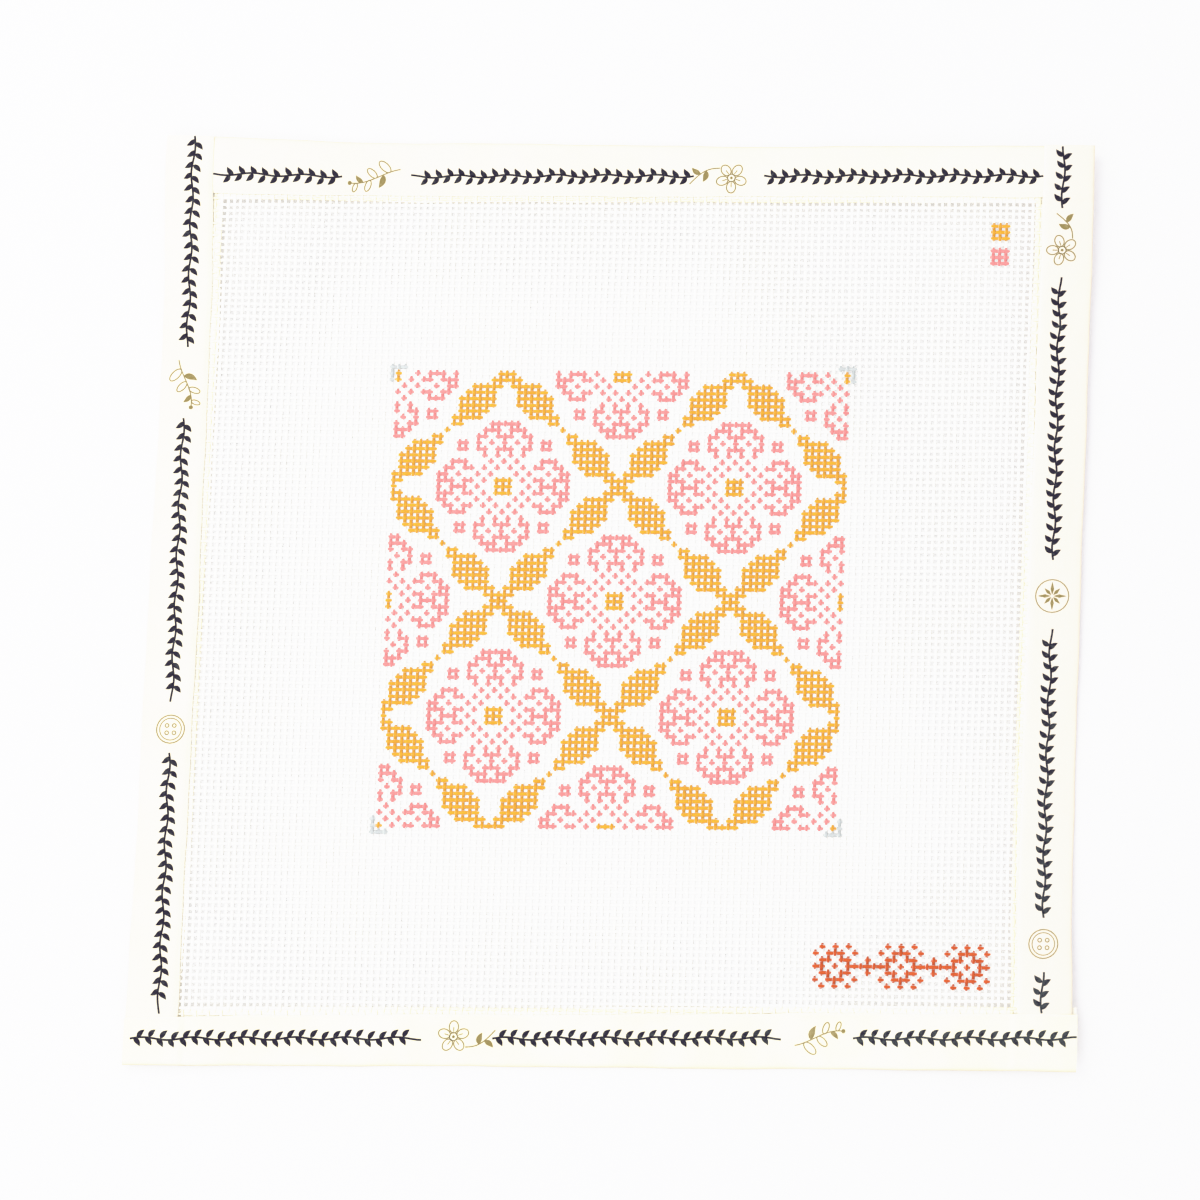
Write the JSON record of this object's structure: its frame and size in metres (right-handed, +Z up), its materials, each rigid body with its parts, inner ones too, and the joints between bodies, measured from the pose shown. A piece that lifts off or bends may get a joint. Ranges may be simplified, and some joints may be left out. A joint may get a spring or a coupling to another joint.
{
  "type": "needlepoint canvas panel",
  "caption": "Square painted needlepoint canvas of stiff open weave, raw edges bound in folded cream tape, lying face up and almost flat.",
  "frame": {"origin": "on the surface it lies on, under the middle of the panel's box", "axes": "+Z up out of the painted face, +Y towards the panel's top edge, +X towards its right edge"},
  "size_m": [0.2128, 0.206, 0.0092],
  "materials": {
    "canvas": "stiff white open-weave cotton canvas",
    "tape": "smooth cream woven binding tape"
  },
  "bodies": {
    "root": {"canvas": "canvas", "tape_top": "tape", "tape_left": "tape", "tape_right": "tape", "tape_bottom": "tape"}
  },
  "joints": []
}
